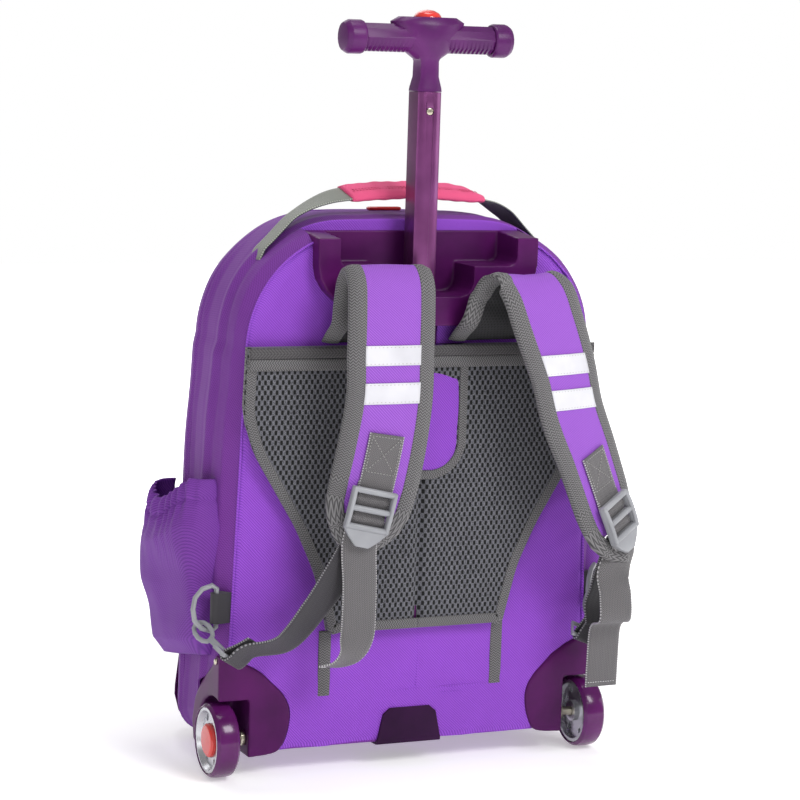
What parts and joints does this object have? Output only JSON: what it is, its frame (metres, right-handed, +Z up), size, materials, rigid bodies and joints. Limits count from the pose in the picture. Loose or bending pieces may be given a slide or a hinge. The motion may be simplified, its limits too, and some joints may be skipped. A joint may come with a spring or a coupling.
{
  "type": "wheeled backpack",
  "caption": "Soft school backpack on trolley wheels, with a telescopic T handle, a mesh back panel, padded shoulder straps clipped to side rings and open side pockets.",
  "frame": {"origin": "on the floor under the middle of the overall box, with the handle half raised", "axes": "+Z up, -Y towards the side with the shoulder straps, +X to the right seen from that side"},
  "size_m": [0.4098, 0.2625, 0.6285],
  "materials": {
    "violet_fabric": "fine diagonal twill, matt",
    "grey_mesh": "spacer mesh with round holes",
    "grey_webbing": "woven webbing, matt",
    "pink_fabric": "padded fabric, stitched",
    "grey_plastic": "moulded, satin",
    "plum_plastic": "moulded, satin",
    "plum_metal": "metallic lacquer on aluminium",
    "steel": "plated",
    "plum_tyre": "polyurethane, glossy",
    "silver_plastic": "silver lacquer",
    "red_plastic": "moulded, glossy"
  },
  "bodies": {
    "bag": {"bag_rear_shell": "violet_fabric", "bag_front_shell": "violet_fabric", "front_pocket": "violet_fabric", "side_pocket_left": "violet_fabric", "side_pocket_right": "violet_fabric", "tube_cover": "violet_fabric", "shoulder_strap_left": "violet_fabric", "shoulder_strap_right": "violet_fabric", "mesh_pad": "grey_mesh", "yoke_band": "grey_webbing", "binding_strip_left": "grey_webbing", "binding_strip_right": "grey_webbing", "adjuster_web_left": "grey_webbing", "adjuster_web_right": "grey_webbing", "load_web_left": "grey_webbing", "load_web_right": "grey_webbing", "strap_tail_left": "grey_webbing", "strap_tail_right": "grey_webbing", "ring_tab_left": "grey_webbing", "ring_tab_right": "grey_webbing", "carry_handle_web": "grey_webbing", "carry_handle_pad": "pink_fabric", "ladder_lock_left": "grey_plastic", "ladder_lock_right": "grey_plastic", "snap_hook_left": "grey_plastic", "snap_hook_right": "grey_plastic", "d_ring_left": "grey_plastic", "d_ring_right": "grey_plastic", "trolley_housing": "plum_plastic", "guide_tube": "plum_plastic", "wheel_housing_left": "plum_plastic", "wheel_housing_right": "plum_plastic", "skid_plate": "plum_plastic", "front_foot_left": "plum_plastic", "front_foot_right": "plum_plastic", "wheel_axle_left": "steel", "wheel_axle_right": "steel", "housing_rivet_left": "steel", "housing_rivet_right": "steel", "zip_pull": "red_plastic"},
    "lower_stage": {"lower_tube": "plum_metal"},
    "handle": {"upper_tube": "plum_metal", "tube_screw": "steel", "grip_body": "plum_plastic", "grip_cap_left": "plum_plastic", "grip_cap_right": "plum_plastic"},
    "button": {"release_button": "red_plastic"},
    "wheel_left": {"tyre_left": "plum_tyre", "wheel_hub_left": "silver_plastic", "wheel_cap_left": "red_plastic"},
    "wheel_right": {"tyre_right": "plum_tyre", "wheel_hub_right": "silver_plastic", "wheel_cap_right": "red_plastic"}
  },
  "joints": [
    {"name": "lower_stage_slide", "type": "slide", "parent": "bag", "child": "lower_stage", "axis": [0, 0, 1], "range_m": [0, 0.22]},
    {"name": "handle_slide", "type": "slide", "parent": "lower_stage", "child": "handle", "axis": [0, 0, 1], "range_m": [-0.166, 0.058]},
    {"name": "button_press", "type": "slide", "parent": "handle", "child": "button", "axis": [0, 0, 1], "range_m": [-0.003, 0], "stiffness_N_per_m": 400},
    {"name": "wheel_left_spin", "type": "hinge", "parent": "bag", "child": "wheel_left", "pos_m": [-0.167, -0.05, 0.031], "axis": [1, 0, 0], "continuous": true},
    {"name": "wheel_right_spin", "type": "hinge", "parent": "bag", "child": "wheel_right", "pos_m": [0.167, -0.05, 0.031], "axis": [1, 0, 0], "continuous": true}
  ]
}
